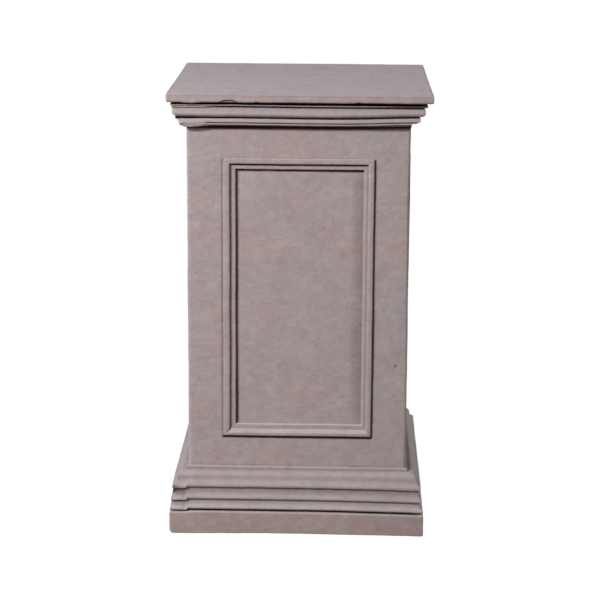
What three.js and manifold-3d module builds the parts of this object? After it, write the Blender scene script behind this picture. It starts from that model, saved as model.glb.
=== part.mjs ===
// Display pedestal, square on plan, in courses: plinth, base moulding, panelled shaft, cornice, top slab.
// Millimetres, +Z up, front towards -Y, origin at the centre of the underside.

import * as THREE from 'three';
import { mergeVertices } from 'three/addons/utils/BufferGeometryUtils.js';
import loadManifold from 'manifold-3d';

// Heights where one course ends and the next begins
const PLINTH_TOP = 53.5;
const BASE_TOP = 148;
const SHAFT_TOP = 928;
const CORNICE_TOP = 982;
const TOTAL_HEIGHT = 1000;

// Half widths of the square plan
const PLINTH_HALF = 287;
const SHAFT_HALF = 245;
const SLAB_HALF = 288;

// Softened edges
const PLINTH_EDGE = 3;
const SHAFT_EDGE = 5;
const SLAB_EDGE = 4.5;

// Base moulding: half widths and heights of its members, from the bottom up
const QUIRK_DEPTH = 3.5;
const LOWER_BAND = { bottom: 58.5, top: 77.5, foot: 286, head: 281.5 };
const UPPER_BAND = { bottom: 81, top: 105.5, foot: 283, head: 278.5 };
const NOSE = { bottom: 108.5, top: 113, half: 280.5 };
const HOLLOW = { bottomHalf: 278, topHalf: 270.5, top: 130.5 };
const SHOULDER = { top: 140, innerHalf: 256 };
const LEDGE = { half: 249.5, footHalf: 250.5 };

// Cornice: half widths and heights of its members, from the bottom up
const NECK_FILLET = { half: 253, top: 932.5 };
const BEAD = { bottom: 933.5, top: 945.5, half: 263.5, reach: 5 };
const BEAD_QUIRK_HALF = 257;
const LARGE_ROUND = { bottom: 948.5, top: 971, half: 274, footHalf: 265 };
const ROUND_QUIRK_HALF = 261.5;
const CROWN = { bottom: 973, footHalf: 274.5, topHalf: 278.5, quirkHalf: 270 };

// Panel and the moulding that frames it
const FRAME_OUTER_HALF = 168;
const FRAME_BOTTOM = 221;
const FRAME_TOP = 855;
const FRAME_WIDTH = 26;
const FRAME_PROUD = 4.5;
const PANEL_DEPTH = 5.5;
const REBATE = 12;
const STEP_HEIGHT = 4.5;
const INNER_BAND = { start: 2.5, end: 9 };
const OUTER_BAND = { start: 12.5, hollow: 0.6, edge: 3 };

// Clearance between pieces that lie on each other in a turned group
const CLEARANCE = 0.3;

const ROUND_STEPS = 8;
const EDGE_STEPS = 3;
const SQUARE_SIDES = 4;
const STONE = { color: 0xa09391, roughness: 0.88, metalness: 0 };

const wasm = await loadManifold();
wasm.setup();

function closed(geometry) {
  // Leaves only the positions, merges the shared corners and drops the faces that collapse on the axis.
  geometry.deleteAttribute('normal');
  geometry.deleteAttribute('uv');
  const merged = mergeVertices(geometry, 1e-3);
  const kept = [];
  const corners = merged.index.array;
  for (let i = 0; i < corners.length; i += 3) {
    const [a, b, c] = corners.slice(i, i + 3);
    if (a !== b && b !== c && c !== a) kept.push(a, b, c);
  }
  merged.setIndex(kept);
  return merged;
}

function toSolid(geometry) {
  return new wasm.Manifold(new wasm.Mesh({
    numProp: 3,
    vertProperties: new Float32Array(geometry.attributes.position.array),
    triVerts: new Uint32Array(geometry.index.array),
  }));
}

function fromSolid(solid) {
  const mesh = solid.getMesh();
  const geometry = new THREE.BufferGeometry();
  geometry.setAttribute('position', new THREE.BufferAttribute(mesh.vertProperties, 3));
  geometry.setIndex(new THREE.BufferAttribute(mesh.triVerts, 1));
  return geometry;
}

function squareRun(outline) {
  // Runs an outline of (half width, height) points round a square plan, with mitred corners.
  const points = outline.map((p) => new THREE.Vector2(p.x * Math.SQRT2, p.y));
  return closed(new THREE.LatheGeometry(points, SQUARE_SIDES, Math.PI / SQUARE_SIDES));
}

function squareCourse(path) {
  return squareRun(path.getPoints(ROUND_STEPS)).rotateX(Math.PI / 2);
}

function roundedSquare(half, radius) {
  const shape = new THREE.Shape();
  const flat = half - radius;
  shape.absarc(flat, flat, radius, 0, Math.PI / 2);
  shape.absarc(-flat, flat, radius, Math.PI / 2, Math.PI);
  shape.absarc(-flat, -flat, radius, Math.PI, 1.5 * Math.PI);
  shape.absarc(flat, -flat, radius, 1.5 * Math.PI, 2 * Math.PI);
  return shape;
}

function softSlab(half, bottom, top, edge) {
  // A square block whose upright and level edges are rounded by the same radius.
  const outline = roundedSquare(half - edge, edge);
  const slab = new THREE.ExtrudeGeometry(outline, {
    depth: top - bottom - 2 * edge,
    bevelSize: edge,
    bevelThickness: edge,
    bevelSegments: EDGE_STEPS,
    curveSegments: EDGE_STEPS,
  });
  return closed(slab).translate(0, 0, bottom + edge);
}

function flaredBand(path, band) {
  // One band of the base: a short return in its quirk, a rolled foot and a face that leans inwards.
  const roll = band.foot - QUIRK_DEPTH;
  path.lineTo(roll, band.bottom);
  path.quadraticCurveTo(band.foot, band.bottom, band.foot, band.bottom + QUIRK_DEPTH);
  path.lineTo(band.head, band.top);
  path.lineTo(band.head - QUIRK_DEPTH, band.top);
}

function baseMoulding() {
  const path = new THREE.Path();
  path.moveTo(0, PLINTH_TOP);
  path.lineTo(LOWER_BAND.foot - 2 * QUIRK_DEPTH, PLINTH_TOP);
  path.lineTo(LOWER_BAND.foot - 2 * QUIRK_DEPTH, LOWER_BAND.bottom);
  flaredBand(path, LOWER_BAND);
  path.lineTo(LOWER_BAND.head - QUIRK_DEPTH, UPPER_BAND.bottom);
  flaredBand(path, UPPER_BAND);
  path.lineTo(UPPER_BAND.head - QUIRK_DEPTH, NOSE.bottom);
  path.lineTo(NOSE.half, NOSE.bottom);
  path.lineTo(NOSE.half, NOSE.top);
  path.lineTo(HOLLOW.bottomHalf, NOSE.top);
  path.quadraticCurveTo(HOLLOW.bottomHalf - 1, HOLLOW.top - 5, HOLLOW.topHalf, HOLLOW.top);
  path.quadraticCurveTo(HOLLOW.topHalf - 1.5, SHOULDER.top, SHOULDER.innerHalf, SHOULDER.top);
  path.lineTo(LEDGE.footHalf, SHOULDER.top);
  path.lineTo(LEDGE.half, BASE_TOP);
  path.lineTo(0, BASE_TOP);
  return squareCourse(path);
}

function corniceMoulding() {
  const path = new THREE.Path();
  path.moveTo(0, SHAFT_TOP);
  path.lineTo(NECK_FILLET.half, SHAFT_TOP);
  path.lineTo(NECK_FILLET.half, NECK_FILLET.top);
  path.lineTo(BEAD_QUIRK_HALF - BEAD.reach, BEAD.bottom);
  path.lineTo(BEAD.half - BEAD.reach, BEAD.bottom);
  path.quadraticCurveTo(BEAD.half, BEAD.bottom, BEAD.half, BEAD.bottom + BEAD.reach);
  path.lineTo(BEAD.half, BEAD.top);
  path.lineTo(ROUND_QUIRK_HALF, BEAD.top);
  path.lineTo(ROUND_QUIRK_HALF, LARGE_ROUND.bottom);
  path.lineTo(LARGE_ROUND.footHalf, LARGE_ROUND.bottom);
  path.quadraticCurveTo(
    LARGE_ROUND.half,
    LARGE_ROUND.bottom + 3,
    LARGE_ROUND.half,
    (LARGE_ROUND.bottom + LARGE_ROUND.top) / 2,
  );
  path.quadraticCurveTo(LARGE_ROUND.half, LARGE_ROUND.top - 2, CROWN.quirkHalf, LARGE_ROUND.top);
  path.lineTo(CROWN.quirkHalf, CROWN.bottom);
  path.lineTo(CROWN.footHalf, CROWN.bottom);
  path.lineTo(CROWN.topHalf, CORNICE_TOP);
  path.lineTo(0, CORNICE_TOP);
  return squareCourse(path);
}

function shaft() {
  const body = new THREE.ExtrudeGeometry(roundedSquare(SHAFT_HALF, SHAFT_EDGE), {
    depth: SHAFT_TOP - BASE_TOP,
    bevelEnabled: false,
    curveSegments: EDGE_STEPS,
  });
  let solid = toSolid(closed(body).translate(0, 0, BASE_TOP));
  const sunkWidth = 2 * (FRAME_OUTER_HALF - REBATE);
  const sunkHeight = FRAME_TOP - FRAME_BOTTOM - 2 * REBATE;
  for (let side = 0; side < SQUARE_SIDES; side += 1) {
    const pocket = new THREE.BoxGeometry(sunkWidth, 2 * PANEL_DEPTH, sunkHeight);
    pocket.translate(0, -SHAFT_HALF, (FRAME_TOP + FRAME_BOTTOM) / 2);
    pocket.rotateZ((side * Math.PI) / 2);
    solid = solid.subtract(toSolid(closed(pocket)));
  }
  return fromSolid(solid);
}

function frameOutline() {
  // Section of the panel moulding: distance out from the panel's edge, height over the shaft's face.
  const path = new THREE.Path();
  const backOfPanel = CLEARANCE - PANEL_DEPTH;
  const lip = FRAME_WIDTH - REBATE - CLEARANCE;
  const innerFace = FRAME_PROUD - STEP_HEIGHT;
  path.moveTo(0, backOfPanel);
  path.lineTo(lip, backOfPanel);
  path.lineTo(lip, CLEARANCE);
  path.lineTo(FRAME_WIDTH, CLEARANCE);
  path.lineTo(FRAME_WIDTH, FRAME_PROUD - OUTER_BAND.edge);
  path.quadraticCurveTo(FRAME_WIDTH, FRAME_PROUD, FRAME_WIDTH - OUTER_BAND.edge, FRAME_PROUD);
  path.quadraticCurveTo(
    (FRAME_WIDTH + OUTER_BAND.start) / 2,
    FRAME_PROUD - 2 * OUTER_BAND.hollow,
    OUTER_BAND.start,
    FRAME_PROUD,
  );
  path.quadraticCurveTo(INNER_BAND.end, FRAME_PROUD, INNER_BAND.end, innerFace);
  path.lineTo(INNER_BAND.start, innerFace);
  path.quadraticCurveTo(0, innerFace, 0, innerFace - INNER_BAND.start);
  path.lineTo(0, backOfPanel);
  return path.getPoints(EDGE_STEPS + 1);
}

function panelFrame() {
  // A square frame of the panel's width, drawn out to the panel's height, facing -Y.
  const panelHalf = FRAME_OUTER_HALF - FRAME_WIDTH;
  const stretch = (FRAME_TOP - FRAME_BOTTOM) / 2 - FRAME_OUTER_HALF;
  const outline = frameOutline().map((p) => new THREE.Vector2(panelHalf + p.x, p.y));
  const frame = squareRun(outline).rotateX(Math.PI);
  const position = frame.attributes.position;
  for (let i = 0; i < position.count; i += 1) {
    const z = position.getZ(i);
    position.setZ(i, z + Math.sign(z) * stretch);
  }
  return frame;
}

function piece(name, geometry) {
  const mesh = new THREE.Mesh(geometry, new THREE.MeshStandardMaterial({ ...STONE, flatShading: true }));
  mesh.name = name;
  return mesh;
}

function framedSide(name, turns) {
  const side = new THREE.Group();
  const frame = piece(`panel_frame_${name}`, panelFrame());
  frame.position.set(0, -SHAFT_HALF, (FRAME_TOP + FRAME_BOTTOM) / 2);
  side.rotation.z = (turns * Math.PI) / 2;
  side.add(frame);
  return side;
}

const pedestal = new THREE.Group();
pedestal.add(piece('plinth', softSlab(PLINTH_HALF, 0, PLINTH_TOP, PLINTH_EDGE)));
pedestal.add(piece('base_moulding', baseMoulding()));
pedestal.add(piece('shaft', shaft()));
['front', 'right', 'back', 'left'].forEach((name, turns) => pedestal.add(framedSide(name, turns)));
pedestal.add(piece('cornice_moulding', corniceMoulding()));
pedestal.add(piece('top_slab', softSlab(SLAB_HALF, CORNICE_TOP, TOTAL_HEIGHT, SLAB_EDGE)));

export default pedestal;
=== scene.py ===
# Display pedestal: finished pieces, stone-effect material, floor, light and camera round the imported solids.
# The scene is in metres. Sections, defects and unevenness are drawn in millimetres and scaled by MM.
import math

import bpy
import numpy as np
from mathutils import Matrix, Vector


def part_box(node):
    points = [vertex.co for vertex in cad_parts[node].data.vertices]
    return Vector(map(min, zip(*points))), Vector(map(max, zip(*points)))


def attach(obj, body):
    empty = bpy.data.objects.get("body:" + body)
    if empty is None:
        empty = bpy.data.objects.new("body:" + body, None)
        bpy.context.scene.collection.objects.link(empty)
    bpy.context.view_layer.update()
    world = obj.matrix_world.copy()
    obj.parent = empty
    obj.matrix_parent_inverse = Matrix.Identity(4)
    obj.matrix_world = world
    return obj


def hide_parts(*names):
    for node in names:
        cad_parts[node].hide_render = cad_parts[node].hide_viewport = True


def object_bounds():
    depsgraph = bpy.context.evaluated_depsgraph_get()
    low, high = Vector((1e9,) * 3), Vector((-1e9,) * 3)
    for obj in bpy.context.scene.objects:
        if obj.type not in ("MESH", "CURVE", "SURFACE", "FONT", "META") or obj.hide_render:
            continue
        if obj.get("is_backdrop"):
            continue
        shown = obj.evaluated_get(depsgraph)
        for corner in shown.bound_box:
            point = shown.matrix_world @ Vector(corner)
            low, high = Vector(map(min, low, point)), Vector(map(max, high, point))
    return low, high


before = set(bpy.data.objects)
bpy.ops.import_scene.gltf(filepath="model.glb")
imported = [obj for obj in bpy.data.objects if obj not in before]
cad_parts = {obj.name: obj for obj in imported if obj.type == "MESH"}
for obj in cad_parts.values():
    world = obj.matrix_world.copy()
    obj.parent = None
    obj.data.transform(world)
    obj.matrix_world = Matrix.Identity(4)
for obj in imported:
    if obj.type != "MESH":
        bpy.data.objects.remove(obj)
cad_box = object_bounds()

MM = 0.001
SIDES = 4

# Camera, placed as the photograph shows the pedestal
CAMERA_PLACE = (0.1106, -4.5497, 1.5727)
CAMERA_YAW = -0.0246
CAMERA_PITCH = 0.23595
CAMERA_ROLL = 0.0067
CAMERA_LENS = 119.57
SENSOR_WIDTH = 36.0

# Fineness of the meshes
SECTION_STEP = 1.3
FRONT_STEP = 2.6
SIDE_STEP = 6.5
SHAFT_STEP = 4.2
SHAFT_SIDE_STEP = 11.0
FINE_STEP = 1.5
LAP_STEP = 4.0
CORNER_STEPS = 5

# Top slab
SLAB_TOP_EDGE = 3.2
# Painted shade along the slab's rounded top edge, which dims its highlight
SLAB_EDGE_SHADE = 0.18
SLAB_UNDER_EDGE = 5.0
SLAB_LAP = 26.0
SLAB_CORNERS = (2.5, 5.0, 5.0, 5.0)

# Cornice members: half widths and heights
NECK_FILLET = {"half": 261.4, "bottom": 930.9, "top": 934.1}
BEAD = {"half": 263.8, "bottom": 935.8, "top": 945.2, "quirk": 257.6}
LARGE_ROUND = {"half": 274.2, "foot": 263.5, "head": 270.0, "bottom": 948.4, "top": 970.2, "quirk": 257.5}
CROWN = {"half": 279.4, "foot": 276.2, "bottom": 972.7, "top": 976.0, "quirk": 268.0}
CORNICE_LAP = 241.0

# Base members: half widths and heights
LOWER_BAND = {"foot": 286.0, "head": 278.2, "bottom": 58.2, "top": 77.4, "shade": 0.2}
UPPER_BAND = {"foot": 283.2, "head": 275.0, "bottom": 80.8, "top": 105.2, "shade": 0.36}
BAND_ROUND = 4.2
BAND_CREASE = 1.8
NOSE = {"half": 280.8, "bottom": 108.4, "top": 118.0}
HOLLOW = {"foot": 277.0, "head": 270.3, "top": 129.5}
SHOULDER = {"top": 142.0, "bend": 268.0, "inner": 253.5}
LEDGE = {"foot": 251.5, "half": 249.8, "edge": 2.8, "cove": 2.6, "head": 245.4}
BASE_FOOT_QUIRK = 9.0
BASE_LAP = 240.0
BASE_CORNERS = (2.0, 2.0, 2.0, 2.0)

# Plinth
PLINTH_TOP_EDGE = 4.4
PLINTH_FOOT_EDGE = 2.2
PLINTH_LAP = 30.0
PLINTH_CORNERS = (3.0, 3.0, 3.0, 3.0)

# Shaft and its panels
SHAFT_CORNER = 5.5
REBATE = 12.0
PANEL_DEPTH = 5.5
PANEL_FALL = 0.6
PANEL_ROLL = 14.0

# Panel frame section: distance out from the panel's edge, height over the shaft's face
FRAME_WIDTH = 26.0
FRAME_BACK = -5.2
FRAME_CLEAR = 0.3
SIGHT_ROUND = 3.4
INNER_BAND = {"end": 11.2, "height": 0.4}
ROLL = {"inner": 12.2, "edge": 3.9, "crown": 18.6, "height": 4.9, "outer": 25.9, "under": 24.4}

# Unevenness: feature size and height of each layer, in millimetres
SWELLS = ((110.0, 0.55), (34.0, 0.30), (11.0, 0.14))

# Stone colours, linear
PINK_STONE = (0.372, 0.287, 0.279, 1.0)
GREY_STONE = (0.350, 0.297, 0.299, 1.0)
LIGHT_PINK = (0.424, 0.336, 0.328, 1.0)
LIGHT_GREY = (0.400, 0.352, 0.354, 1.0)
# Painted highlight: lighter colour for the frames' upward faces
FRAME_TOP_HIGHLIGHT = (0.500, 0.428, 0.422, 1.0)
SLAB_EDGE_PINK = (0.372, 0.288, 0.268, 1.0)
SLAB_EDGE_GREY = (0.352, 0.280, 0.266, 1.0)
# The slab top's own cooler grey, made lighter as painted top light
SLAB_TOP_GREY_AND_LIGHT = (0.432, 0.374, 0.394, 1.0)
BROWN_STONE = (0.336, 0.250, 0.238, 1.0)
PINK_BROWN = (0.350, 0.264, 0.256, 1.0)
DARK_WASH = (0.235, 0.190, 0.186, 1.0)
PALE_SAND = (0.430, 0.360, 0.350, 1.0)
# Near-black brown laid on by each piece's per-point attribute: mostly painted shade in creases and under
# overhangs, with a little dirt and patina
SHADE_AND_DIRT_DARK = (0.046, 0.014, 0.012, 1.0)


def node_sizes(node):
    """Half width, bottom and top of a course, in millimetres."""
    low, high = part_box(node)
    return high.x / MM, low.z / MM, high.z / MM


def ease(value, start, end):
    """Goes smoothly from 0 at start to 1 at end."""
    share = np.clip((value - start) / (end - start), 0.0, 1.0)
    return share * share * (3.0 - 2.0 * share)


def lattice(cells, seed):
    """A repeatable number from -1 to 1 for each whole cell."""
    mixed = cells @ np.array([73856093, 19349663, 83492791]) + seed * 104729
    mixed = (mixed ^ (mixed >> 13)) * 1274126177
    mixed = mixed ^ (mixed >> 16)
    return (mixed & 0xFFFF) / 32767.5 - 1.0


def smooth_noise(points, size, seed):
    """Noise from -1 to 1 with features of about the given size."""
    scaled = points / size
    cell = np.floor(scaled).astype(np.int64)
    part = scaled - cell
    part = part * part * (3.0 - 2.0 * part)
    total = np.zeros(len(points))
    for corner in np.ndindex(2, 2, 2):
        offset = np.array(corner)
        weight = np.prod(np.where(offset == 1, part, 1.0 - part), axis=1)
        total += weight * lattice(cell + offset, seed)
    return total


def uneven(points, seed):
    """Lets every surface swell and dip a little, as hand-finished stone does."""
    moved = points.copy()
    for layer, (size, height) in enumerate(SWELLS):
        for axis in range(3):
            moved[:, axis] += height * smooth_noise(points, size, seed + 10 * layer + axis)
    return moved


class Outline:
    """A section drawn in millimetres: distance out, height, and how much painted shade, with some dirt, lies
    there.
    """

    def __init__(self, start, shade_and_dirt=0.0):
        self.points = [np.array([*start, shade_and_dirt])]

    def curve(self, bend, end, shade_and_dirt=0.0, step=None):
        first = self.points[-1]
        last = np.array([*end, shade_and_dirt])
        middle = np.array([*bend, (first[2] + shade_and_dirt) / 2])
        length = np.linalg.norm(middle[:2] - first[:2]) + np.linalg.norm(last[:2] - middle[:2])
        count = max(2, math.ceil(length / (step or SECTION_STEP)))
        for share in np.arange(1, count + 1) / count:
            rest = 1.0 - share
            self.points.append(first * rest * rest + middle * 2.0 * share * rest + last * share * share)
        return self

    def line(self, end, shade_and_dirt=0.0, step=None):
        bend = (self.points[-1][:2] + np.array(end)) / 2
        return self.curve(bend, end, shade_and_dirt, step)

    def jump(self, end, shade_and_dirt=0.0):
        self.points.append(np.array([*end, shade_and_dirt]))
        return self

    def quirk(self, inner, height, out, lip=0.35):
        """A groove painted dark as shade: in to a half width, up, and out to the foot of the next member."""
        self.line((inner, self.points[-1][1]), 1.0)
        self.line((inner, height), 1.0)
        return self.line((out, height), lip)

    def array(self):
        return np.array(self.points)


def even(count):
    """Evenly spaced places along a side, from 0 and short of 1."""
    return np.arange(count) / count


def graded(start, end, step, spots):
    """Places from start to end, closer together round the spots, each a middle and a reach."""
    runs = [np.arange(start, end, step)]
    runs += [np.arange(middle - reach, middle + reach, FINE_STEP) for middle, reach in spots]
    places = np.unique(np.round(np.concatenate(runs), 1))
    return places[(places >= start) & (places < end)]


def side_run(length_half, depth_half, before, after, places):
    """One side of a rounded rectangle and the corner at its end, for every point of a section."""
    share = places[:, None]
    turn = np.arange(CORNER_STEPS)[:, None] / CORNER_STEPS * (math.pi / 2)
    start = before - length_half
    end = length_half - after
    along = np.vstack([start + (end - start) * share, end + after * np.sin(turn)])
    straight = np.repeat(-depth_half[None, :], len(places), axis=0)
    across = np.vstack([straight, after * (1.0 - np.cos(turn)) - depth_half])
    return along, across


def sweep(section, half_a, half_b, radii, places):
    """Runs a section round a rounded rectangle: a grid of points, along the run and then the section."""
    out = section[:, 0]
    halves = (half_a + out, half_b + out)
    runs = []
    for side in range(SIDES):
        length, depth = (halves[side % 2], halves[1 - side % 2])
        along, across = side_run(length, depth, radii[side - 1], radii[side], places[side])
        for _ in range(side):
            along, across = (-across, along)
        runs.append(np.stack([along, across], axis=2))
    plan = np.concatenate(runs)
    height = np.repeat(section[None, :, 1, None], len(plan), axis=0)
    return np.concatenate([plan, height], axis=2)


def grid_faces(along, across, closed):
    """Quads of a grid that closes on itself along the run, and on request along the section."""
    last = across if closed else across - 1
    row, column = np.meshgrid(np.arange(along), np.arange(last), indexing="ij")
    next_row = (row + 1) % along
    next_column = (column + 1) % across
    corners = [
        row * across + column,
        next_row * across + column,
        next_row * across + next_column,
        row * across + next_column,
    ]
    return np.stack(corners, axis=2).reshape(-1, 4).tolist()


def make_piece(name, node, slot, grid, points, shade_and_dirt, closed=False):
    """Makes a mesh of a swept grid, closes its two ends, and lets it stand for the node."""
    along, across = grid
    faces = grid_faces(along, across, closed)
    caps = []
    if not closed:
        caps.append([row * across for row in range(along)][::-1])
        caps.append([row * across + across - 1 for row in range(along)])
    mesh = bpy.data.meshes.new(name)
    mesh.from_pydata((points * MM).tolist(), [], faces + caps)
    smooth = np.ones(len(mesh.polygons), dtype=bool)
    smooth[len(faces):] = False
    mesh.polygons.foreach_set("use_smooth", smooth)
    # Per-point attribute: painted shade in creases and under overhangs, with a little dirt and patina
    layer = mesh.attributes.new("shade_and_dirt", "FLOAT", "POINT")
    layer.data.foreach_set("value", shade_and_dirt.astype(np.float32))
    piece = bpy.data.objects.new(name, mesh)
    bpy.context.scene.collection.objects.link(piece)
    piece.data.materials.append(materials[slot])
    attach(piece, "root")
    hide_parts(node)
    return piece


def course_places(half):
    """Where each side of a course gets a copy of its section: the front is the finest."""
    front = even(round(2 * half / FRONT_STEP))
    other = even(round(2 * half / SIDE_STEP))
    return (front, other, other, other)


def course(name, node, slot, outline, corners, warp, seed):
    """A course of the pedestal, with its own defects laid over the even section."""
    section = outline.array()
    radii = [np.full(len(section), corner) for corner in corners]
    grid = sweep(section, 0.0, 0.0, radii, course_places(section[:, 0].max()))
    shape = grid.shape[:2]
    points = grid.reshape(-1, 3)
    shade_and_dirt = np.tile(section[:, 2], shape[0])
    points, shade_and_dirt = warp(points, shade_and_dirt)
    return make_piece(name, node, slot, shape, uneven(points, seed), shade_and_dirt)


def frontness(points):
    """1 on the front of the pedestal, fading out round its corners."""
    return ease(-points[:, 1], 190.0, 240.0)


def right_fade(points):
    """1 on the front of the pedestal, fading out evenly along its sides to the back."""
    return ease(-points[:, 1], -250.0, 200.0)


# Top slab

CHIP = {"middle": -153.5, "half": 18.5, "height": 4.8, "depth": 3.2, "line": 1.0, "blur": 2.3}
NICKS = ((-92.0, 4.0, 1.0), (128.0, 5.0, 1.1))
FILLER = {"start": -254.0, "end": -220.0, "drop": 2.2}
SLAB_SKEW = {"left": 1.1, "front_right": 3.2, "back_right": -2.0}
SLAB_TILT = 1.2


def slab_outline():
    half, bottom, top = node_sizes("top_slab")
    # Third values are painted shade: under the slab's overhang and along its top edge
    outline = Outline((half - SLAB_LAP, bottom), 1.0)
    outline.line((half - 2 * SLAB_UNDER_EDGE, bottom), 1.0)
    outline.line((half - SLAB_UNDER_EDGE, bottom), 0.3)
    outline.curve((half, bottom), (half, bottom + SLAB_UNDER_EDGE))
    outline.line((half, top - 1.6 * SLAB_TOP_EDGE))
    outline.line((half, top - SLAB_TOP_EDGE), SLAB_EDGE_SHADE)
    outline.curve((half, top), (half - SLAB_TOP_EDGE, top), SLAB_EDGE_SHADE)
    outline.line((half - 1.6 * SLAB_TOP_EDGE, top))
    return outline.line((half - SLAB_LAP, top))


def slab_warp(points, shade_and_dirt):
    """Breaks a flake and nicks out of the lower front edge, paints shade along the flake's upper brink, hangs
    filler there, and sets it askew.
    """
    half, bottom, _ = node_sizes("top_slab")
    x, height = points[:, 0].copy(), points[:, 2] - bottom
    front = frontness(points)
    ragged = 1.5 * smooth_noise(points, 5.0, 71)
    arch = np.clip(1.0 - np.abs((x - CHIP["middle"]) / CHIP["half"]) ** 3, 0.0, 1.0)
    brink = CHIP["height"] * arch + 0.3 * ragged
    bite = front * (arch > 0.0) * ease(height, brink + CHIP["blur"], brink - CHIP["blur"])
    points[:, 1] += CHIP["depth"] * bite
    # The flake's upper brink gets a painted shade line; inside the flake the painted shade is taken off
    shade_and_dirt = np.maximum(shade_and_dirt * (1.0 - bite), 4.0 * CHIP["line"] * bite * (1.0 - bite))
    for middle, width, rise in NICKS:
        dent = front * np.exp(-((x - middle) / width) ** 2) * ease(height, 7.0, 0.0)
        points[:, 2] += rise * dent
        points[:, 1] += rise * dent
    filler = ease(x, FILLER["start"] - 5, FILLER["start"] + 5)
    filler *= ease(x, FILLER["end"] + 9, FILLER["end"] - 9)
    points[:, 2] -= FILLER["drop"] * filler * front * ease(height, 9.0, 1.0) * (0.8 + 0.4 * ragged / 1.5)
    points[:, 2] += 0.35 * front * smooth_noise(points, 40.0, 72) * ease(height, 12.0, 3.0)
    across = (x + half) / (2 * half)
    ahead = (half - points[:, 1]) / (2 * half)
    right = SLAB_SKEW["front_right"] * ahead + SLAB_SKEW["back_right"] * (1.0 - ahead)
    points[:, 0] += SLAB_SKEW["left"] * (1.0 - across) + right * across
    points[:, 2] += SLAB_TILT * (across - 0.5) * ease(height, 14.0, 4.0) * front
    return points, shade_and_dirt


# Cornice

CORNICE_SAG = 1.0
CORNICE_RISE = {"start": 90.0, "end": 262.0, "size": 3.5}
CORNICE_PATCH = {"edge": -193.0, "blend": 12.0, "drop": 4.6, "run": 46.0, "fill": 262.4}
CORNER_LUMP = {"start": -258.0, "end": -276.0, "size": 1.6}
CORNICE_CORNERS = (2.0, 2.0, 2.0, 6.5)
WORN_END = {"start": -246.0, "end": -262.0, "size": 17.0, "head": 948.0, "foot": 928.5}
END_FILLS = ((968.5, 973.5, 276.5), (944.0, 950.5, 269.0), (933.0, 938.0, 260.0))
CUT_END = {"out": 244.8, "head": 934.8, "foot": 931.4}
CROWN_FILL = {"start": -150.0, "end": -215.0, "out": 276.0}
CROWN_SHADE = {"start": 110.0, "end": 230.0, "strength": 0.72}


def cornice_outline():
    _, bottom, top = node_sizes("cornice_moulding")
    fillet = NECK_FILLET["half"]
    # Third values paint shade into the quirks, under the fillet and bead, and on the large round's head below
    # the crown
    outline = Outline((CORNICE_LAP, bottom), 1.0)
    outline.line((fillet - 3, bottom), 1.0, LAP_STEP)
    outline.line((fillet - 1.2, NECK_FILLET["bottom"]), 0.5)
    outline.curve((fillet, NECK_FILLET["bottom"]), (fillet, NECK_FILLET["bottom"] + 1.4))
    outline.line((fillet, NECK_FILLET["top"] - 1.2))
    outline.curve((fillet, NECK_FILLET["top"]), (fillet - 1.2, NECK_FILLET["top"]), 0.55)
    outline.quirk(BEAD["quirk"], BEAD["bottom"], BEAD["half"] - 2.4, 0.4)
    outline.curve((BEAD["half"], BEAD["bottom"]), (BEAD["half"], BEAD["bottom"] + 3))
    outline.line((BEAD["half"], BEAD["top"] - 2.4))
    outline.curve((BEAD["half"], BEAD["top"]), (BEAD["half"] - 2.5, BEAD["top"]), 0.2)
    outline.quirk(LARGE_ROUND["quirk"], LARGE_ROUND["bottom"], LARGE_ROUND["foot"], 0.4)
    waist = LARGE_ROUND["bottom"] + 10
    outline.curve((LARGE_ROUND["half"], LARGE_ROUND["bottom"] + 1.5), (LARGE_ROUND["half"], waist))
    head = (LARGE_ROUND["head"], LARGE_ROUND["top"])
    outline.curve((LARGE_ROUND["half"], LARGE_ROUND["top"] - 1), head, 0.45)
    outline.quirk(CROWN["quirk"], CROWN["bottom"], CROWN["foot"] - 1, 0.2)
    outline.curve((CROWN["foot"], CROWN["bottom"]), (CROWN["foot"] + 0.5, CROWN["bottom"] + 1))
    outline.line((CROWN["half"], CROWN["top"] - 1))
    outline.curve((CROWN["half"], CROWN["top"]), (CROWN["half"] - 2, CROWN["top"]), 0.4)
    outline.line((CROWN["quirk"], CROWN["top"]), 1.0)
    outline.line((CROWN["quirk"], top), 1.0)
    return outline.line((CORNICE_LAP, top), 1.0, LAP_STEP)


def cornice_lift(x):
    """How far the cornice's lower members rise towards the right end of the front."""
    return CORNICE_RISE["size"] * ease(x, CORNICE_RISE["start"], CORNICE_RISE["end"])


def worn_ends(points, height, front):
    """Fills the notches at the front left corner, wears the bead there, and cuts the right of the fillet."""
    x = points[:, 0].copy()
    for low, high, out in END_FILLS:
        fill = front * (x < WORN_END["start"])
        fill = fill * ease(height, low - 1, low + 1) * ease(height, high, high - 1.5)
        points[:, 0] += fill * np.minimum(-out - x, 0.0)
    worn = front * ease(x, WORN_END["start"], WORN_END["end"])
    share = np.clip((WORN_END["head"] - height) / (WORN_END["head"] - WORN_END["foot"]), 0.0, 1.0)
    points[:, 0] += WORN_END["size"] * worn * (1.0 - np.sqrt(1.0 - share * share))
    cut = right_fade(points) * ease(height, CUT_END["head"], CUT_END["foot"])
    points[:, 0] -= cut * np.maximum(x - CUT_END["out"], 0.0)
    return points


def crown_ends(points, shade_and_dirt, height, front):
    """Fills the groove under the crown at the left, and darkens the crown at the right."""
    x = points[:, 0]
    groove = ease(height, LARGE_ROUND["top"] - 1.5, LARGE_ROUND["top"]) * ease(height, 974.0, 973.0)
    fill = front * groove * ease(x, CROWN_FILL["start"], CROWN_FILL["end"])
    points[:, 1] += fill * np.minimum(-CROWN_FILL["out"] - points[:, 1], 0.0)
    shade_and_dirt = shade_and_dirt * (1.0 - 0.8 * fill)
    shade = front * ease(height, 969.0, 972.0) * ease(x, CROWN_SHADE["start"], CROWN_SHADE["end"])
    return points, np.maximum(shade_and_dirt, CROWN_SHADE["strength"] * shade)


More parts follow.
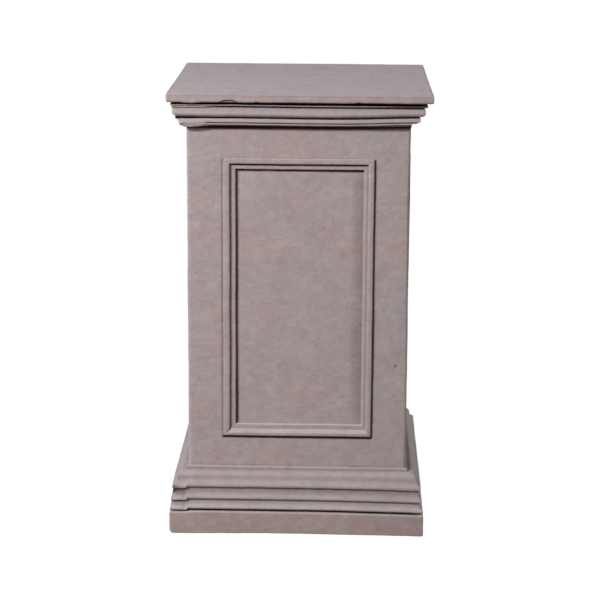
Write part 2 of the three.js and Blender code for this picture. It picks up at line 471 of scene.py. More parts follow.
def cornice_warp(points, shade_and_dirt):
    """Bends the front a little, and fills and drops its left end as an old repair does."""
    x, height = points[:, 0].copy(), points[:, 2].copy()
    front = frontness(points)
    middle = ease(height, 974.0, 955.0) * ease(height, 927.5, 929.5)
    bow = np.clip(1.0 - (x / LARGE_ROUND["half"]) ** 2, 0.0, 1.0)
    points[:, 2] += middle * (right_fade(points) * cornice_lift(x) - front * CORNICE_SAG * bow)
    ragged = 3.0 * smooth_noise(points, 14.0, 81)
    edge = CORNICE_PATCH["edge"]
    patch = front * ease(x + ragged, edge, edge - CORNICE_PATCH["blend"])
    sunk = front * ease(x, edge, edge - CORNICE_PATCH["run"])
    points[:, 2] -= CORNICE_PATCH["drop"] * sunk * ease(height, 950.0, 938.0) * ease(height, 927.9, 929.2)
    filled = patch * ease(height, 939.0, 935.5) * (points[:, 1] < -255.0)
    lumpy = CORNICE_PATCH["fill"] + 0.9 * smooth_noise(points, 9.0, 82) - 2.5 * ease(height, 934.0, 929.0)
    points[:, 1] += (-lumpy - points[:, 1]) * filled
    shade_and_dirt = shade_and_dirt * (1.0 - 0.85 * filled)
    corner = ease(x, CORNER_LUMP["start"], CORNER_LUMP["end"]) * front
    points[:, 0] -= CORNER_LUMP["size"] * corner * ease(height, 950.0, 958.0) * ease(height, 972.0, 966.0)
    points, shade_and_dirt = crown_ends(points, shade_and_dirt, height, front)
    return worn_ends(points, height, front), shade_and_dirt


# Base moulding

BASE_DROOP = {"reach": 255.0, "size": 3.4}
BASE_PATCH = {"edge": -245.5, "blend": 4.0, "drop": 4.3, "proud": 0.8, "stain": 0.10}
BASE_END = {"start": -262.0, "foot": 284.8, "lean": 0.125}
BASE_SKEW = 2.0
# Everything above the lower band is coloured a little darker
BASE_UPPER_DARKENING = 0.11
RIGHT_LEDGE_SHADOW = {"inner": 245.0, "outer": 262.0, "bottom": 137.0, "strength": 0.46}
RIGHT_END_SHADE = {"start": 90.0, "end": 285.0, "strength": 0.06}


def rolled_band(outline, band):
    """One band of the base: a rolled foot, and a hollow face that rises to a shaded head."""
    foot, head, bottom = band["foot"], band["head"], band["bottom"]
    outline.curve((foot, bottom), (foot, bottom + BAND_ROUND))
    outline.curve((foot, bottom + 1.6 * BAND_ROUND), (foot - 0.6 * BAND_ROUND, bottom + 1.8 * BAND_ROUND))
    outline.curve((head + 0.8, bottom + 2.4 * BAND_ROUND), (head, band["top"] - 1), band["shade"])
    outline.line((head - 0.4, band["top"] + BAND_CREASE), 0.55)


def base_outline():
    _, bottom, top = node_sizes("base_moulding")
    inner = LOWER_BAND["foot"] - BASE_FOOT_QUIRK
    # Third values paint shade into the quirks, the ledge's front, the hollow and the band heads
    outline = Outline((BASE_LAP, bottom), 1.0)
    outline.jump((inner, bottom), 1.0)
    outline.line((inner, LOWER_BAND["bottom"] - 1), 1.0)
    outline.line((LOWER_BAND["foot"] - BAND_ROUND, LOWER_BAND["bottom"]), 0.6)
    rolled_band(outline, LOWER_BAND)
    outline.line((UPPER_BAND["foot"] - BAND_ROUND, UPPER_BAND["bottom"]), 0.35)
    rolled_band(outline, UPPER_BAND)
    outline.line((NOSE["half"] - BAND_ROUND, NOSE["bottom"]), 0.35)
    outline.curve((NOSE["half"], NOSE["bottom"]), (NOSE["half"], NOSE["bottom"] + BAND_ROUND + 1))
    outline.curve((NOSE["half"], NOSE["top"] - 1), (HOLLOW["foot"], NOSE["top"]))
    outline.curve((HOLLOW["head"] + 0.8, NOSE["top"] + 1.5), (HOLLOW["head"], HOLLOW["top"]), 0.2)
    outline.curve((SHOULDER["bend"], SHOULDER["top"]), (SHOULDER["inner"], SHOULDER["top"]))
    outline.line((LEDGE["foot"], SHOULDER["top"]), 0.42)
    outline.line((LEDGE["half"], top - LEDGE["edge"]), 0.36)
    outline.curve((LEDGE["half"], top), (LEDGE["half"] - LEDGE["edge"], top))
    outline.curve((LEDGE["head"], top), (LEDGE["head"], top + LEDGE["cove"]))
    return outline.line((BASE_LAP, top + LEDGE["cove"]))


def base_droop(points):
    """The front of the base runs a little downhill towards its right end."""
    share = np.clip(points[:, 0] / BASE_DROOP["reach"], 0.0, 1.1) ** 1.5
    return BASE_DROOP["size"] * share * right_fade(points) * ease(points[:, 2], 138.0, 112.0)


def right_end_shade(points):
    """Painted shade: the front of the foot courses grows a little darker towards its right end."""
    share = ease(points[:, 0], RIGHT_END_SHADE["start"], RIGHT_END_SHADE["end"])
    return RIGHT_END_SHADE["strength"] * share * frontness(points)


def ledge_shadow(x, y, height):
    """Painted shadow on the ledge and the top of the shoulder, along the right side only."""
    inner = ease(x, RIGHT_LEDGE_SHADOW["inner"], RIGHT_LEDGE_SHADOW["inner"] + 3)
    outer = ease(x, RIGHT_LEDGE_SHADOW["outer"], RIGHT_LEDGE_SHADOW["outer"] - 5)
    level = height > RIGHT_LEDGE_SHADOW["bottom"]
    return RIGHT_LEDGE_SHADOW["strength"] * inner * outer * level * ease(y, -247.0, -240.0)


def base_warp(points, shade_and_dirt):
    """Lets the front droop, and steps the bands down at the patched left corner."""
    x, height = points[:, 0].copy(), points[:, 2].copy()
    front = frontness(points)
    points[:, 2] -= base_droop(points) * ease(height, 53.0, 56.0)
    ragged = 1.2 * smooth_noise(points, 7.0, 91)
    edge = BASE_PATCH["edge"]
    patch = front * ease(x + ragged, edge, edge - BASE_PATCH["blend"]) * ease(height, 134.0, 112.0)
    seam = front * np.exp(-((x + ragged - edge + 2) / 3.0) ** 2) * ease(height, 126.0, 106.0)
    points[:, 2] -= BASE_PATCH["drop"] * patch * ease(height, 53.0, 60.0)
    points[:, 1] -= BASE_PATCH["proud"] * seam * (1.0 + smooth_noise(points, 6.0, 92))
    lumps = patch * smooth_noise(points, 10.0, 93)
    points[:, 1] -= 0.9 * lumps
    points[:, 2] += 0.7 * lumps * ease(height, 54.0, 62.0)
    envelope = BASE_END["foot"] - BASE_END["lean"] * (height - LOWER_BAND["bottom"])
    end = front * (x < BASE_END["start"]) * ease(height, 60.0, 64.0) * ease(height, 120.0, 116.0)
    points[:, 0] += end * np.minimum(-envelope - x, 0.0)
    points[:, 0] -= BASE_SKEW * ease(points[:, 1], -240.0, 280.0) * ease(x, 200.0, 265.0)
    stain = BASE_PATCH["stain"] * patch * ease(height, 80.0, 84.0) * ease(height, 108.0, 104.0)
    shade_and_dirt = np.clip(shade_and_dirt * (1.0 - 0.3 * seam) * (1.0 + 0.7 * patch), stain, 1.0)
    # The upper courses are coloured a little darker, with painted shade towards the right end and on the
    # right ledge
    darkening = BASE_UPPER_DARKENING * ease(height, 80.0, 84.0) + right_end_shade(points)
    darkening = np.maximum(darkening, ledge_shadow(x, points[:, 1], height))
    return points, np.maximum(shade_and_dirt, darkening)


# Plinth

PLINTH_CHAMFER = 7.0
PLINTH_ARCH = 2.4
PLINTH_LOWER = 0.1
PLINTH_LEFT = {"start": -240.0, "end": -252.0, "drop": 1.8}


def plinth_outline():
    half, bottom, top = node_sizes("plinth")
    # Third values are painted shade: where the base sits on the plinth, and under it
    outline = Outline((half - PLINTH_LAP, bottom), 0.6)
    outline.line((half - PLINTH_FOOT_EDGE, bottom), 0.3)
    outline.curve((half, bottom), (half, bottom + PLINTH_FOOT_EDGE))
    outline.line((half, top - PLINTH_TOP_EDGE))
    outline.curve((half, top), (half - PLINTH_TOP_EDGE, top))
    outline.line((half - 2 * PLINTH_TOP_EDGE, top), 0.3)
    return outline.line((half - PLINTH_LAP, top), 1.0)


def plinth_warp(points, shade_and_dirt):
    """Lets the front's foot arch, lowers its top with the base's droop, and wears its lower left corner."""
    half, bottom, top = node_sizes("plinth")
    height = points[:, 2] - bottom
    front = frontness(points)
    worn = np.clip(PLINTH_CHAMFER - (points[:, 0] + half) - height, 0.0, None) * front
    bow = np.clip(1.0 - (points[:, 0] / half) ** 2, 0.0, 1.0)
    points[:, 2] += PLINTH_ARCH * bow * front * ease(height, 26.0, 4.0)
    left = PLINTH_LEFT["drop"] * ease(points[:, 0], PLINTH_LEFT["start"], PLINTH_LEFT["end"])
    lower = (PLINTH_LOWER + left) * front + base_droop(points)
    points[:, 2] -= lower * ease(height, 30.0, top - bottom)
    points[:, 0] += 0.5 * worn
    points[:, 2] += 0.35 * worn
    # Painted shade darkens the front towards its right end
    return points, np.maximum(shade_and_dirt, right_end_shade(points))


# Shaft

# Pits: place across, height, radius and depth
PITS = (
    (220.5, 386.4, 2.8, 2.0),
    (217.8, 318.2, 1.7, 1.0),
    (-205.0, 788.0, 1.4, 0.6),
    (-222.6, 596.0, 1.3, 0.5),
)
PIT_DARKENING = 0.55
PIT_REACH = 4.0
EDGE_REACH = 8.0
SHAFT_SHIFT = -0.5
SHAFT_SEAT = 3.0
SHAFT_BOW = {"middle": 760.0, "reach": 240.0, "size": 2.5, "out": 1.1}
# Painted shadow under the cornice, on the top of the shaft
NECK_SHADE = {"dark": 5.5, "end": 12.0}
RIGHT_BEVEL = {"width": 26.0, "size": 3.0}
# Painted shade with some patina along the right edge of the front panel
PANEL_SHADE_AND_PATINA = {"width": 30.0, "strength": 0.16}
# Painted shade towards the shaft's lower right arris
ARRIS_SHADE = {"start": 180.0, "end": 245.0, "head": 620.0, "foot": 160.0, "strength": 0.05}
FRAME_SHADE = {"left": 0.35, "right": 0.75, "foot": 1.0, "width": 6.0, "foot_width": 7.4}
SIGHT_SHADE = {"left": 0.72, "left_width": 7.5, "top": 0.97, "top_width": 7.0}


def frame_sizes():
    """Half width of the panel, and bottom and top of the panel, in millimetres."""
    low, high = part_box("panel_frame_front")
    return high.x / MM - FRAME_WIDTH, low.z / MM + FRAME_WIDTH, high.z / MM - FRAME_WIDTH


def quarter_turned(points, turns):
    """Turns points about the upright axis by whole quarter turns."""
    x, y = points[:, 0].copy(), points[:, 1].copy()
    for _ in range(turns % SIDES):
        x, y = -y, x
    return np.stack([x, y, points[:, 2]], axis=1)


def roll_off(distance, width):
    """0 well inside the panel, growing to 1 at its edge."""
    return (1.0 - np.clip(distance / width, 0.0, 1.0)) ** 2


def sink_panel(points, half):
    """Sinks the front panel and lets its field fall away at the edges."""
    panel_half, low, high = frame_sizes()
    lip = FRAME_WIDTH - REBATE
    x, y, z = points.T
    inside = (np.abs(x) < panel_half + lip) & (z > low - lip) & (z < high + lip) & (y < -half + 1.0)
    fall = PANEL_FALL * (roll_off(x + panel_half, PANEL_ROLL) + roll_off(high - z, PANEL_ROLL))
    fall -= PANEL_FALL * roll_off(z - low, PANEL_ROLL)
    fall += RIGHT_BEVEL["size"] * roll_off(panel_half - x, RIGHT_BEVEL["width"])
    points[:, 1] += np.where(inside, PANEL_DEPTH + fall, 0.0)
    return points


def pit_front(points, shade_and_dirt):
    """A few small pits in the front's uprights, coloured darker inside."""
    for x, z, radius, depth in PITS:
        distance = np.hypot(points[:, 0] - x, points[:, 2] - z)
        dent = np.exp(-((distance / radius) ** 2)) * (points[:, 1] < 0)
        points[:, 1] += depth * dent
        shade_and_dirt = np.maximum(shade_and_dirt, PIT_DARKENING * dent)
    return points, shade_and_dirt


def panel_shade_and_patina(points, half):
    """Painted shade with some patina along the right edge of the front panel, where its field falls away."""
    panel_half, low, high = frame_sizes()
    x, y, z = points.T
    inside = (y < -half + 20.0) & (np.abs(x) < panel_half + 2) & (z > low) & (z < high)
    edge = ease(x, panel_half - PANEL_SHADE_AND_PATINA["width"], panel_half - 0.4 * PANEL_SHADE_AND_PATINA["width"])
    ends = ease(z, high - 4, high - 30) * ease(z, low + 4, low + 30)
    patchy = 0.75 + 0.5 * smooth_noise(points, 45.0, 61)
    return np.where(inside, PANEL_SHADE_AND_PATINA["strength"] * edge * ends * patchy, 0.0)


def arris_shade(points):
    """Painted shade: the front of the shaft grows a little darker towards its lower right arris."""
    across = ease(points[:, 0], ARRIS_SHADE["start"], ARRIS_SHADE["end"])
    down = ease(points[:, 2], ARRIS_SHADE["head"], ARRIS_SHADE["foot"])
    return ARRIS_SHADE["strength"] * across * down * frontness(points)


def strip(distance, width):
    """1 at an edge and just inside it, fading out over a width on its far side."""
    return ease(distance, -4.0, -3.0) * ease(distance, width, 0.5 * width)


def frame_shade(points, half):
    """Painted shadow in the corners beside the front frame: outside it, and on the panel under its sight
    edge.
    """
    panel_half, low, high = frame_sizes()
    x, y, z = points.T
    outer, foot, head = panel_half + FRAME_WIDTH, low - FRAME_WIDTH, high + FRAME_WIDTH
    upright = ease(z, foot - 5, foot) * ease(z, head + 1, head - 6)
    level = ease(np.abs(x), outer + 3, outer - 2)
    sight = FRONT_FRAME["shift_x"] + FRONT_RAILS["left"] + FRONT_RAILS["left_sight"] - panel_half
    left = SIGHT_SHADE["left"] * strip(x - sight, SIGHT_SHADE["left_width"])
    sight_head = high + FRONT_FRAME["shift_z"] + FRONT_RAILS["top_sight"]
    crown = SIGHT_SHADE["top"] * strip(sight_head - z, SIGHT_SHADE["top_width"])
    shades = [
        FRAME_SHADE["left"] * strip(FRONT_RAILS["left"] - outer - x, FRAME_SHADE["width"]) * upright,
        FRAME_SHADE["right"] * strip(x - outer - FRONT_RAILS["right"], FRAME_SHADE["width"]) * upright,
        FRAME_SHADE["foot"] * strip(foot - z, FRAME_SHADE["foot_width"]) * level,
        left * ease(z, low, low + 6) * (z < high + 4),
        crown * ease(np.abs(x), panel_half + 4, panel_half - 2),
    ]
    return np.where(y < -half + 20.0, np.max(shades, axis=0), 0.0)


def shaft_section(half, bottom, top):
    """Half width, height and painted neck shadow, with closer rows beside the frame, the pits and the neck.
    """
    _, low, high = frame_sizes()
    edges = (low - FRAME_WIDTH, low, high, high + FRAME_WIDTH, top - NECK_SHADE["dark"])
    spots = [(edge, EDGE_REACH) for edge in edges]
    spots += [(z, PIT_REACH) for _, z, _, _ in PITS]
    heights = np.append(graded(bottom - SHAFT_SEAT, top, SHAFT_STEP, spots), top)
    neck = ease(heights, top - NECK_SHADE["end"], top - NECK_SHADE["dark"])
    return np.stack([np.full(len(heights), half), heights, neck], axis=1)


def shaft_places(half):
    """Where the shaft's sides get a copy of its section: closer beside the front frame and the pits."""
    panel_half, _, _ = frame_sizes()
    edges = (panel_half, panel_half + FRAME_WIDTH)
    spots = [(sign * edge, EDGE_REACH) for edge in edges for sign in (-1, 1)]
    spots += [(x, PIT_REACH) for x, _, _, _ in PITS]
    front = (graded(-half, half, SHAFT_STEP, spots) + half) / (2 * half)
    other = even(round(2 * half / SHAFT_SIDE_STEP))
    return (front, other, other, other)


def shaft_piece():
    half, bottom, top = node_sizes("shaft")
    section = shaft_section(half, bottom, top)
    radius = np.full(len(section), SHAFT_CORNER)
    grid = sweep(section, 0.0, 0.0, [radius] * SIDES, shaft_places(half))
    points = grid.reshape(-1, 3)
    shade_and_dirt = np.tile(section[:, 2], grid.shape[0])
    shade_and_patina_layers = [panel_shade_and_patina(points, half), arris_shade(points), frame_shade(points, half)]
    shade_and_dirt = np.max([shade_and_dirt, *shade_and_patina_layers], axis=0)
    for turns in range(SIDES):
        points = quarter_turned(sink_panel(quarter_turned(points, turns), half), -turns)
    points, shade_and_dirt = pit_front(points, shade_and_dirt)
    neck = ease(points[:, 2], top - 30.0, top - 12.0)
    points[:, 2] += cornice_lift(points[:, 0]) * right_fade(points) * neck
    bow = np.exp(-(((points[:, 2] - SHAFT_BOW["middle"]) / SHAFT_BOW["reach"]) ** 2))
    bow = SHAFT_BOW["out"] - SHAFT_BOW["size"] * bow
    points[:, 0] += SHAFT_SHIFT + bow * ease(points[:, 0], half - 30.0, half)
    return make_piece("finished_shaft", "shaft", "shaft_stone", grid.shape[:2], uneven(points, 400), shade_and_dirt)


# Panel frames

FRONT_FRAME = {"shift_x": 1.5, "shift_z": 2.5, "worn_corner": 9.0, "corner": 1.2}
FRONT_RAILS = {"left": 1.9, "left_sight": 0.9, "right": -2.0, "top_sight": -1.3, "top_roll": 0.6, "foot": 0.8}
SLOPED_RAIL = {"start": 10.6, "end": 19.4}
# How dark each front rail's painted shade is: the top and left rails' inner steps face away from the key
# light
FRONT_RAIL_SHADE = {"bottom": 0.05, "right": 0.2, "top": 1.0, "left": 0.52}
PLAIN_RAIL_SHADE = 0.5
PLAIN_RELIEF = 0.35


def frame_outline():
    top, crown = ROLL["height"], ROLL["crown"]
    # Third values paint shade into the frame's creases and on the inner band beside the roll
    outline = Outline((ROLL["under"], FRAME_CLEAR), 1.0)
    outline.curve((ROLL["outer"] + 0.5, FRAME_CLEAR + 0.3), (ROLL["outer"], FRAME_CLEAR + 1.6), 0.3)
    outline.curve((ROLL["outer"] - 0.1, top - 0.6), (ROLL["outer"] - 1.8, top - 0.4))
    outline.curve((crown + 2.5, top), (crown, top))
    outline.curve((crown - 3.5, top), (ROLL["inner"] + 0.8, ROLL["edge"] + 0.3))
    outline.curve((ROLL["inner"], ROLL["edge"]), (ROLL["inner"] - 0.2, ROLL["edge"] - 1.4), 0.7)
    outline.line((INNER_BAND["end"], INNER_BAND["height"]), 1.0)
    outline.line((INNER_BAND["end"] - 3.0, INNER_BAND["height"]), 0.95)
    outline.line((INNER_BAND["end"] - 4.8, INNER_BAND["height"]))
    outline.line((SIGHT_ROUND, INNER_BAND["height"]))
    outline.curve((0.4, INNER_BAND["height"]), (0.3, -0.7 * SIGHT_ROUND))
    outline.line((0.0, FRAME_BACK), 0.3)
    outline.jump((FRAME_WIDTH - REBATE - FRAME_CLEAR, FRAME_BACK), 1.0)
    outline.jump((FRAME_WIDTH - REBATE - FRAME_CLEAR, FRAME_CLEAR), 1.0)
    return outline


def front_rails(flat, out):
    """Shifts the front frame's rails off centre, and slopes the inner face of its bottom rail's roll."""
    panel_half, low, high = frame_sizes()
    inner = 1.0 - ease(out, 0.0, FRAME_WIDTH)
    sight = 1.0 - ease(out, 2.0, 10.0)
    left = flat[:, 0] < -panel_half + FRONT_FRAME["corner"]
    right = flat[:, 0] > panel_half
    top = flat[:, 1] > (high - low) / 2 - FRONT_FRAME["corner"]
    foot = flat[:, 1] < (low - high) / 2
    bottom = foot & (out > SLOPED_RAIL["start"]) & (out < SLOPED_RAIL["end"])
    share = (out - SLOPED_RAIL["start"]) / (SLOPED_RAIL["end"] - SLOPED_RAIL["start"])
    slope = INNER_BAND["height"] + (ROLL["height"] - INNER_BAND["height"]) * share
    sloped = bottom & (np.abs(flat[:, 0]) < panel_half + out)
    flat[:, 2] = np.where(sloped, np.minimum(flat[:, 2], slope), flat[:, 2])
    flat[:, 0] += FRONT_FRAME["shift_x"] * inner
    flat[:, 1] += FRONT_FRAME["shift_z"] * inner
    flat[:, 0] += np.where(left, FRONT_RAILS["left"] + FRONT_RAILS["left_sight"] * sight, 0.0)
    top_shift = FRONT_RAILS["top_sight"] * sight + FRONT_RAILS["top_roll"] * (1.0 - sight)
    flat[:, 1] += np.where(top, top_shift, 0.0)
    flat[:, 0] += np.where(right, FRONT_RAILS["right"] * (1.0 - inner), 0.0)
    flat[:, 1] += np.where(foot, FRONT_RAILS["foot"] * (1.0 - inner), 0.0)
    return flat


def plain_rails(flat):
    """Lowers the relief of the frames that the photograph does not show."""
    proud = np.maximum(flat[:, 2] - FRAME_CLEAR, 0.0)
    flat[:, 2] -= (1.0 - PLAIN_RELIEF) * proud
    return flat


def frame_piece(side, turns):
    """The moulding round one panel. The front one has a worn corner and rails of uneven width."""
    shaft_half, _, _ = node_sizes("shaft")
    panel_half, low, high = frame_sizes()
    section = frame_outline().array()
    front = turns == 0
    step = FRONT_STEP if front else SIDE_STEP
    places = [even(round(2 * panel_half / step)), even(round((high - low) / step))] * 2
    radii = [np.full(len(section), FRONT_FRAME["corner"])] * SIDES
    if front:
        outer = ease(section[:, 0], ROLL["crown"], FRAME_WIDTH)
        radii[2] = FRONT_FRAME["corner"] + FRONT_FRAME["worn_corner"] * outer
    grid = sweep(section, panel_half, (high - low) / 2, radii, places)
    flat = grid.reshape(-1, 3)
    # Each rail scales the section's painted shade
    shares = FRONT_RAIL_SHADE.values() if front else [PLAIN_RAIL_SHADE] * SIDES
    spans = [np.full(len(run) + CORNER_STEPS, share) for run, share in zip(places, shares)]
    shade_and_dirt = np.outer(np.concatenate(spans), section[:, 2]).ravel()
    flat = front_rails(flat, np.tile(section[:, 0], grid.shape[0])) if front else plain_rails(flat)
    points = np.stack([flat[:, 0], -shaft_half - flat[:, 2], flat[:, 1] + (low + high) / 2], axis=1)
    points = uneven(quarter_turned(points, turns), 500 + 40 * turns)
    node = f"panel_frame_{side}"
    return make_piece(f"finished_{node}", node, "frame_stone", grid.shape[:2], points, shade_and_dirt, True)


# Materials

GRAIN_SQUASH = (1.0, 1.0, 1.4)


class Nodes:
    """Short hand for building one material's node tree."""

    def __init__(self, tree):
        self.tree = tree

    def add(self, kind, **settings):
        node = self.tree.nodes.new(kind)
        for key, value in settings.items():
            setattr(node, key, value)
        return node

    def link(self, source, target):
        self.tree.links.new(source, target)

    def noise(self, coords, scale, detail, roughness=0.55, distortion=0.0):
        node = self.add("ShaderNodeTexNoise")
        node.inputs["Scale"].default_value = scale
        node.inputs["Detail"].default_value = detail
        node.inputs["Roughness"].default_value = roughness
        node.inputs["Distortion"].default_value = distortion
        self.link(coords, node.inputs["Vector"])
        return node.outputs["Fac"]

    def spread(self, value, low, high, start=0.0, end=1.0):
        """Stretches a value from low..high to start..end."""
        node = self.add("ShaderNodeMapRange", interpolation_type="SMOOTHSTEP")
        node.inputs["From Min"].default_value = low
        node.inputs["From Max"].default_value = high
        node.inputs["To Min"].default_value = start
        node.inputs["To Max"].default_value = end
        self.link(value, node.inputs["Value"])
        return node.outputs["Result"]

    def mix(self, share, first, second, mode="MIX"):
        node = self.add("ShaderNodeMix", data_type="RGBA", blend_type=mode)
        for name, value in (("Factor_Float", share), ("A_Color", first), ("B_Color", second)):
            socket = next(s for s in node.inputs if s.identifier == name)
            if isinstance(value, bpy.types.NodeSocket):
                self.link(value, socket)
            else:
                socket.default_value = value
        return next(s for s in node.outputs if s.identifier == "Result_Color")

    def math(self, kind, first, second):
        node = self.add("ShaderNodeMath", operation=kind)
        for socket, value in zip(node.inputs, (first, second)):
            if isinstance(value, bpy.types.NodeSocket):
                self.link(value, socket)
            else:
                socket.default_value = value
        return node.outputs["Value"]

    def bump(self, height, strength, distance, before=None):
        node = self.add("ShaderNodeBump")
        node.inputs["Strength"].default_value = strength
        node.inputs["Distance"].default_value = distance
        self.link(height, node.inputs["Height"])
        if before is not None:
            self.link(before, node.inputs["Normal"])
        return node.outputs["Normal"]


def stone_material(name, warm, cool, top):
    """Matt stone-effect finish: clouded warm and cool greys, sandy grain, painted shade with some dirt in the
    quirks.
    """
    material = bpy.data.materials.new(name)
    material.use_nodes = True
    nodes = Nodes(material.node_tree)
    shader = material.node_tree.nodes["Principled BSDF"]
    squat = nodes.add("ShaderNodeMapping")
    squat.inputs["Scale"].default_value = GRAIN_SQUASH
    nodes.link(nodes.add("ShaderNodeTexCoord").outputs["Object"], squat.inputs["Vector"])
    coords = squat.outputs["Vector"]
    clouds = nodes.spread(nodes.noise(coords, 11.0, 5.0, 0.65, 0.4), 0.30, 0.70)
    drift = nodes.noise(coords, 19.0, 2.0, 0.5, 0.8)
    mottle = nodes.noise(coords, 46.0, 2.0, 0.5, 0.8)
    leather = nodes.noise(coords, 150.0, 3.0, 0.6)
    sand = nodes.noise(coords, 480.0, 2.0, 0.6)
    facing = nodes.add("ShaderNodeSeparateXYZ")
    nodes.link(nodes.add("ShaderNodeNewGeometry").outputs["Normal"], facing.inputs["Vector"])
    colour = nodes.mix(clouds, warm, cool)
    # Upward faces take the top colour: partly their own cooler grey, partly painted top light
    colour = nodes.mix(nodes.spread(facing.outputs["Z"], 0.10, 0.60, 0.0, 0.9), colour, top)
    for layer, pale, dark in ((drift, 0.38, 0.20), (mottle, 0.42, 0.22), (leather, 0.22, 0.26)):
        colour = nodes.mix(nodes.spread(layer, 0.50, 0.74, 0.0, pale), colour, PALE_SAND)
        colour = nodes.mix(nodes.spread(layer, 0.50, 0.26, 0.0, dark), colour, DARK_WASH)
    # The per-point attribute lays painted shade, with a little dirt, over the colour
    shade_and_dirt_fac = nodes.add("ShaderNodeAttribute", attribute_name="shade_and_dirt").outputs["Fac"]
    ragged = nodes.spread(nodes.noise(coords, 160.0, 3.0), 0.3, 0.7, 0.95, 1.12)
    colour = nodes.mix(nodes.math("MINIMUM", nodes.math("MULTIPLY", shade_and_dirt_fac, ragged), 1.0), colour, SHADE_AND_DIRT_DARK)
    nodes.link(colour, shader.inputs["Base Color"])
    nodes.link(nodes.spread(shade_and_dirt_fac, 0.1, 0.9, 0.2, 0.02), shader.inputs["Specular IOR Level"])
    nodes.link(nodes.spread(sand, 0.3, 0.7, 0.82, 0.96), shader.inputs["Roughness"])
    broad = nodes.bump(mottle, 0.5, 0.0018)
    coarse = nodes.bump(leather, 0.5, 0.0009, broad)
    fine = nodes.bump(sand, 0.5, 0.0006, coarse)
    nodes.link(fine, shader.inputs["Normal"])
    return material


def make_materials():
    return {
        "slab_stone": stone_material("slab_stone", SLAB_EDGE_PINK, SLAB_EDGE_GREY, SLAB_TOP_GREY_AND_LIGHT),
        "moulding_stone": stone_material("moulding_stone", LIGHT_PINK, LIGHT_GREY, LIGHT_GREY),
        "shaft_stone": stone_material("shaft_stone", PINK_STONE, GREY_STONE, GREY_STONE),
        "frame_stone": stone_material("frame_stone", PINK_STONE, GREY_STONE, FRAME_TOP_HIGHLIGHT),
        "plinth_stone": stone_material("plinth_stone", BROWN_STONE, PINK_BROWN, LIGHT_GREY),
    }


# Stage, light and camera

KEY = {"place": (-2.45, -2.50, 2.70), "aim": (0.0, -0.25, 0.60), "size": 0.6, "power": 170.0}
SIDE = {"place": (2.8, 0.6, 1.4), "aim": (0.25, 0.0, 0.4), "size": 1.2, "power": 30.0}
SKY_STRENGTH = 0.35
FLOOR_HALF = 300.0
FLOOR_GLOW = 0.96


def floor_piece():
    """A pale floor that stays almost white to the eye and gives only a faint shadow."""
    corners = [(x * FLOOR_HALF, y * FLOOR_HALF, 0.0) for x, y in ((-1, -1), (1, -1), (1, 1), (-1, 1))]
    mesh = bpy.data.meshes.new("floor")
    mesh.from_pydata(corners, [], [(0, 1, 2, 3)])
    floor = bpy.data.objects.new("floor", mesh)
    bpy.context.scene.collection.objects.link(floor)
    material = bpy.data.materials.new("pale_floor")
    material.use_nodes = True
    nodes = Nodes(material.node_tree)
    shader = material.node_tree.nodes["Principled BSDF"]
    shader.inputs["Base Color"].default_value = (0.30, 0.30, 0.30, 1.0)
    shader.inputs["Roughness"].default_value = 0.9
    glow = nodes.add("ShaderNodeEmission")
    glow.inputs["Strength"].default_value = 1.04
    seen = nodes.add("ShaderNodeLightPath").outputs["Is Camera Ray"]
    blend = nodes.add("ShaderNodeMixShader")
    nodes.link(nodes.math("MULTIPLY", seen, FLOOR_GLOW), blend.inputs["Fac"])
    nodes.link(shader.outputs["BSDF"], blend.inputs[1])
    nodes.link(glow.outputs["Emission"], blend.inputs[2])
    nodes.link(blend.outputs["Shader"], material.node_tree.nodes["Material Output"].inputs["Surface"])
    mesh.materials.append(material)
    floor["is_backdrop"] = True


def soft_light(name, lamp):
    light = bpy.data.lights.new(name, "AREA")
    light.shape = "SQUARE"
    light.size = lamp["size"]
    light.energy = lamp["power"]
    holder = bpy.data.objects.new(name, light)
    holder.location = lamp["place"]
    aim = Vector(lamp["aim"]) - Vector(lamp["place"])
    holder.rotation_euler = aim.to_track_quat("-Z", "Y").to_euler()
    bpy.context.scene.collection.objects.link(holder)


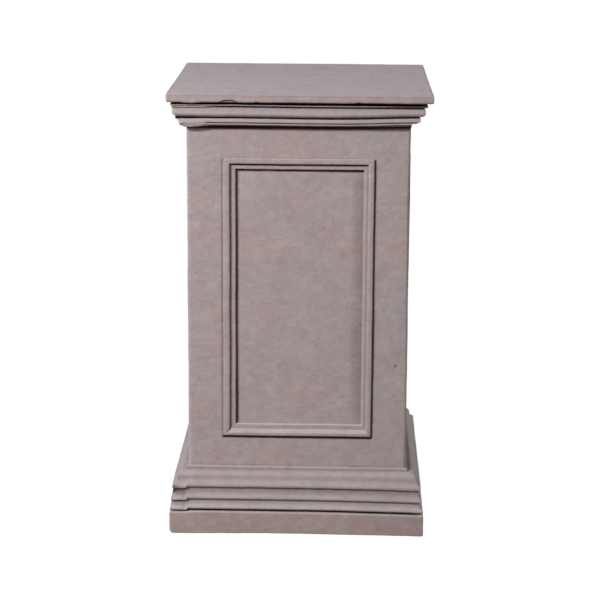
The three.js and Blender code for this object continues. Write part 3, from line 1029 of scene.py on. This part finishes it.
def set_sky():
    world = bpy.data.worlds.new("studio")
    world.use_nodes = True
    world.node_tree.nodes["Background"].inputs["Color"].default_value = (1.0, 1.0, 1.0, 1.0)
    world.node_tree.nodes["Background"].inputs["Strength"].default_value = SKY_STRENGTH
    bpy.context.scene.world = world


def set_camera():
    data = bpy.data.cameras.new("camera")
    data.sensor_width = SENSOR_WIDTH
    data.lens = CAMERA_LENS
    camera = bpy.data.objects.new("camera", data)
    ahead_level = Vector((math.sin(CAMERA_YAW), math.cos(CAMERA_YAW), 0.0))
    right_level = Vector((math.cos(CAMERA_YAW), -math.sin(CAMERA_YAW), 0.0))
    upright = Vector((0.0, 0.0, 1.0))
    ahead = ahead_level * math.cos(CAMERA_PITCH) - upright * math.sin(CAMERA_PITCH)
    above = upright * math.cos(CAMERA_PITCH) + ahead_level * math.sin(CAMERA_PITCH)
    right = right_level * math.cos(CAMERA_ROLL) + above * math.sin(CAMERA_ROLL)
    above = above * math.cos(CAMERA_ROLL) - right_level * math.sin(CAMERA_ROLL)
    turn = Matrix((right, above, -ahead)).transposed()
    camera.matrix_world = Matrix.Translation(CAMERA_PLACE) @ turn.to_4x4()
    bpy.context.scene.collection.objects.link(camera)
    bpy.context.scene.camera = camera


bpy.context.scene.view_settings.view_transform = "Standard"
set_camera()
set_sky()
floor_piece()
soft_light("key", KEY)
soft_light("side", SIDE)

materials = make_materials()
course("finished_top_slab", "top_slab", "slab_stone", slab_outline(), SLAB_CORNERS, slab_warp, 100)
cornice = cornice_outline()
course("finished_cornice", "cornice_moulding", "moulding_stone", cornice, CORNICE_CORNERS, cornice_warp, 200)
course("finished_base", "base_moulding", "moulding_stone", base_outline(), BASE_CORNERS, base_warp, 300)
course("finished_plinth", "plinth", "plinth_stone", plinth_outline(), PLINTH_CORNERS, plinth_warp, 350)
shaft_piece()
for turns, side in enumerate(("front", "right", "back", "left")):
    frame_piece(side, turns)

visual_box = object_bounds()
boxes = {"cad": cad_box, "visual": visual_box}
{name: [list(corner) for corner in box] for name, box in boxes.items()}
